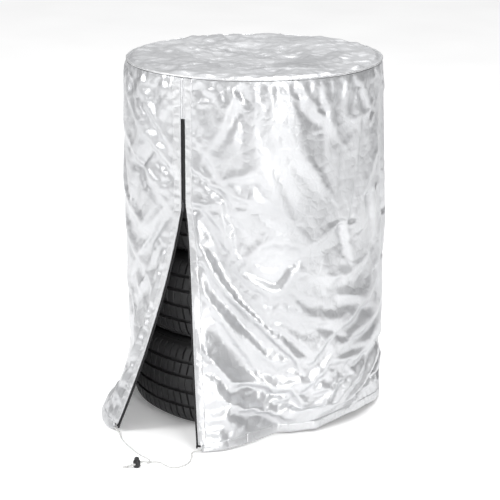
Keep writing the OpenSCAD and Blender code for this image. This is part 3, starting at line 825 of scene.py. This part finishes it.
def add_top():
    """Top panel, lying on the upper tyre and sagging a little into its well."""
    radii = np.concatenate([np.linspace(0, 0.3, 56)[1:], np.linspace(0.3035, 0.3195, 7)])
    az = np.arange(288) * 1.25
    rr, aa = np.meshgrid(radii, az, indexing="ij")
    flat = at(aa, rr, 0 * rr).reshape(-1, 3)
    big = crumple(flat, 11, 5.0).reshape(rr.shape)
    small = crumple(flat, 30, 1.3).reshape(rr.shape)
    swell = soft_noise(flat, 7, 6.0).reshape(rr.shape)
    gathers = soft_noise(at(aa, 0.3, 0 * rr).reshape(-1, 3), 30, 8.0).reshape(rr.shape)
    sag = -0.011 * ease((0.215 - rr) / 0.13)
    rim = ease((rr - 0.25) / 0.06)
    z = PANEL_Z + 0.0034 + 0.0046 * big + 0.002 * small + 0.004 * swell + 0.004 * gathers * rim + sag
    z = np.where(rr > 0.2, np.maximum(z, PANEL_Z + 0.0006), z)
    blend_to_rim = ease((rr - 0.304) / 0.016)
    z = z * (1 - blend_to_rim) + (PIPING_Z + 0.0004) * blend_to_rim
    calm = ease(rr / 0.03)
    z = z * calm + z[3].mean() * (1 - calm)
    points = at(aa, rr, z)
    rows, cols = points.shape[:2]
    quads = [q[::-1] for q in grid_quads(rows, cols, wrap_cols=True)]
    centre = len(points.reshape(-1, 3))
    all_points = np.concatenate([points.reshape(-1, 3), [(0, 0, float(z[0].mean()))]])
    quads += [(centre, j, (j + 1) % cols) for j in range(cols)]
    obj = mesh_object("top_panel_cloth", all_points, quads, SILVER)
    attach(obj, "cover")
    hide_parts("top_panel")
    # piping, puckered by its seam
    turn = np.arange(720) * 0.5
    ripple = soft_noise(at(turn, COVER_R, 0 * turn), 46, 3.0)
    route = at(turn, COVER_R - PIPING_R + 0.0009 * ripple, PIPING_Z + 0.0006 * ripple)
    piping = tube_object("top_piping_cloth", route, PIPING_R * (0.93 + 0.07 * np.abs(ripple)), SEAM,
                         sides=14, closed=True)
    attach(piping, "cover")
    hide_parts("top_piping")


# ------------------------------------------------------------------ zip
def strip_object(name, side, z, near, far, low, high, material, rows_bumpy=False):
    """Narrow band along a zip edge with a rounded section, ribbed for a coil."""
    mid, half = (near + far) / 2, (far - near) / 2
    centre, tall = (low + high) / 2, (high - low) / 2
    turn = np.radians([0, 45, 90, 135, 180, 225, 270, 315])
    rings = []
    for i, h in enumerate(z):
        swell = 0.82 if rows_bumpy and i % 2 else 1.0
        insets = mid + half * np.sign(np.cos(turn)) * np.abs(np.cos(turn)) ** 0.6 * swell
        offs = centre + tall * np.sign(np.sin(turn)) * np.abs(np.sin(turn)) ** 0.6 * swell
        az = np.array([float(edge_at(side, h, inset)) for inset in insets])
        rings.append(wall(az, h, offs))
    points = np.array(rings)
    rows, sides = points.shape[:2]
    quads = grid_quads(rows, sides, wrap_cols=True)
    quads += [tuple(reversed(range(sides))), tuple((rows - 1) * sides + k for k in range(sides))]
    if side > 0:
        quads = [q[::-1] for q in quads]
    return mesh_object(name, points, quads, material)


def add_zip():
    for side, name in ((-1, "left"), (1, "right")):
        open_rows, closed_rows = np.linspace(0.0165, 0.570, 680), np.linspace(0.576, 0.7958, 276)
        pieces = [
            (strip_object(f"open_coil_{name}", side, open_rows, .0004, .0032, -.0046, -.0014, COIL, True),
             f"{name}_flap_zip_coil", "zip_coil", True),
            (strip_object(f"closed_coil_{name}", side, closed_rows, .0002, .0032, -.0044, -.0016, COIL, True),
             f"zip_coil_{name}", "zip_coil", False),
            (strip_object(f"open_tape_{name}", side, np.linspace(0.0122, 0.571, 120),
                          .0030, .0115, -.0038, -.0021, TAPE),
             f"{name}_flap_zip_tape", "zip_tape", True),
            (strip_object(f"closed_tape_{name}", side, np.linspace(0.576, 0.798, 50),
                          .0030, .0115, -.0038, -.0021, TAPE),
             f"zip_tape_{name}", "zip_tape", False),
        ]
        for obj, node, slot, swinging in pieces:
            if swinging:
                swings(obj)
            else:
                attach(obj, "cover")
            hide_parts(node)
        stop = softened(f"{name}_end_stop", f"{name}_end_stop_moulding", COIL, 0.0004)
        swings(stop)
    top_stop = softened("zip_top_stop", "zip_top_stop_moulding", COIL, 0.0004)
    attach(top_stop, "cover")
    slider = softened("zip_slider", "zip_slider_body", METAL, 0.00045)
    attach(slider, "zip_slider")
    pull = softened("zip_pull_tab", "zip_pull_tab_body", METAL, 0.0004)
    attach(pull, "zip_pull")


# ------------------------------------------------------------------ tyres
# Upper half of a tyre's section from the tread's middle, as (radius, height over the middle) in mm
SECTION = [
    (316, 0), (316, 15.6), (309, 16.6), (308, 20), (309, 23.4), (315.8, 24.4), (315.4, 40), (314.6, 53.6),
    (307.6, 54.6), (307, 58), (307.6, 61.4), (314.2, 62.4), (313, 80), (310.5, 87), (307.6, 92), (303, 96),
    (298, 99), (294.6, 101.4), (292, 103.6), (290.4, 103.4), (287, 106.6), (282, 109.6), (277, 111.3),
    (272, 111.85), (268, 111.1), (264, 111.1), (260, 111.85), (252, 111.85), (244, 110), (236, 106.6),
    (228, 101.6), (218, 95), (207, 86), (203.6, 82), (203, 77), (203.4, 69), (208, 66.4), (214, 76),
    (232, 92), (252, 98.6), (272, 98.6), (289, 90), (300, 70), (303, 40)]


def tyre_mesh():
    half = np.array(SECTION, float)
    lower = half[1:][::-1] * np.array((1, -1))
    section = np.concatenate([half, [(303, 0)], lower]) / 1000
    blocks = 90
    steps = np.array([0.0, 0.35, 0.65, 1.0, 2.5])
    rows = []
    columns = (np.arange(blocks)[:, None] * 4.0 + steps).reshape(-1)
    phase = np.tile(np.arange(5), blocks)
    for r, z in section:
        high = abs(z) * 1000
        cut = 0.0
        if r > 0.3055 and high < 96:
            if high > 62:
                cut = 0.006
            elif 24 < high < 54:
                cut = 0.0045
            elif high < 16:
                cut = 0.0018
        elif 0.2865 < r < 0.3 and high > 96:
            cut = 0.0012
        slant = z * 40 * (1 if z > 0 else -1)
        radius = r - np.where((phase == 1) | (phase == 2), cut, 0.0)
        rows.append(at(columns + slant, radius, z + 0 * columns))
    points = np.array(rows)
    data = bpy.data.meshes.new("tyre")
    data.from_pydata(points.reshape(-1, 3).tolist(), [], grid_quads(*points.shape[:2], True, True))
    data.materials.append(RUBBER)
    data.shade_smooth()
    data.set_sharp_from_angle(angle=math.radians(38))
    return data


def add_tyres():
    data = tyre_mesh()
    for number in range(1, 5):
        tyre = add_object(f"tyre_{number}_rubber", data, None, smooth=False)
        tyre.location.z = (number - 1) * TYRE_PITCH + TYRE_HALF
        tyre.rotation_euler.z = math.pi / 2 * number
        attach(tyre, f"tyre_{number}")
        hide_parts(f"tyre_{number}_tread", f"tyre_{number}_lower_sidewall",
                    f"tyre_{number}_upper_sidewall")


add_tyres()
add_walls()
add_front_seam()
add_hem()
add_top()
add_zip()
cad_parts["cord_lock_spring"].data.materials.clear()
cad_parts["cord_lock_spring"].data.materials.append(STEEL)


# ------------------------------------------------------------------ floor and light
def add_stage():
    s = Surface("pale_floor", Roughness=0.9, Emission_Color=(1, 1, 1, 1), Emission_Strength=0.16)
    s.colour(s.noise(2, 2), (0.93, 0.93, 0.93), (0.97, 0.97, 0.97))
    s.bump(s.noise(40, 2), 0.05, 0.001)
    corners = [(-30, -30, 0), (30, -30, 0), (30, 30, 0), (-30, 30, 0)]
    floor = mesh_object("floor", corners, [(0, 1, 2, 3)], s.m)


def add_light(name, place, aim, size, power):
    data = bpy.data.lights.new(name, "AREA")
    data.shape, data.size, data.energy = "DISK", size, power
    obj = bpy.data.objects.new(name, data)
    obj.location = place
    obj.rotation_euler = (Vector(aim) - Vector(place)).to_track_quat("-Z", "Y").to_euler()
    bpy.context.scene.collection.objects.link(obj)


add_stage()
add_light("key", (-3.2, -3.4, 3.6), (0, 0, 0.5), 2.2, 165)
add_light("fill", (4.1, -3.2, 2.2), (0, 0, 0.45), 1.8, 120)
add_light("top", (0.3, 0.6, 3.8), (0, 0, 0.8), 1.8, 70)


def add_world():
    """White overhead, greyer toward the horizon, so that the silver cloth has something to mirror."""
    world = bpy.data.worlds.new("studio")
    world.use_nodes = True
    nodes, links = world.node_tree.nodes, world.node_tree.links
    coords = nodes.new("ShaderNodeTexCoord")
    split = nodes.new("ShaderNodeSeparateXYZ")
    ramp = nodes.new("ShaderNodeValToRGB")
    ramp.color_ramp.elements[0].position, ramp.color_ramp.elements[0].color = 0.06, (0.03, 0.03, 0.035, 1)
    ramp.color_ramp.elements[1].position, ramp.color_ramp.elements[1].color = 0.75, (1, 1, 1, 1)
    links.new(coords.outputs["Generated"], split.inputs[0])
    links.new(split.outputs["Z"], ramp.inputs["Fac"])
    links.new(ramp.outputs["Color"], nodes["Background"].inputs["Color"])
    nodes["Background"].inputs["Strength"].default_value = 0.9
    bpy.context.scene.world = world


add_world()
bpy.context.scene.view_settings.view_transform = "Standard"
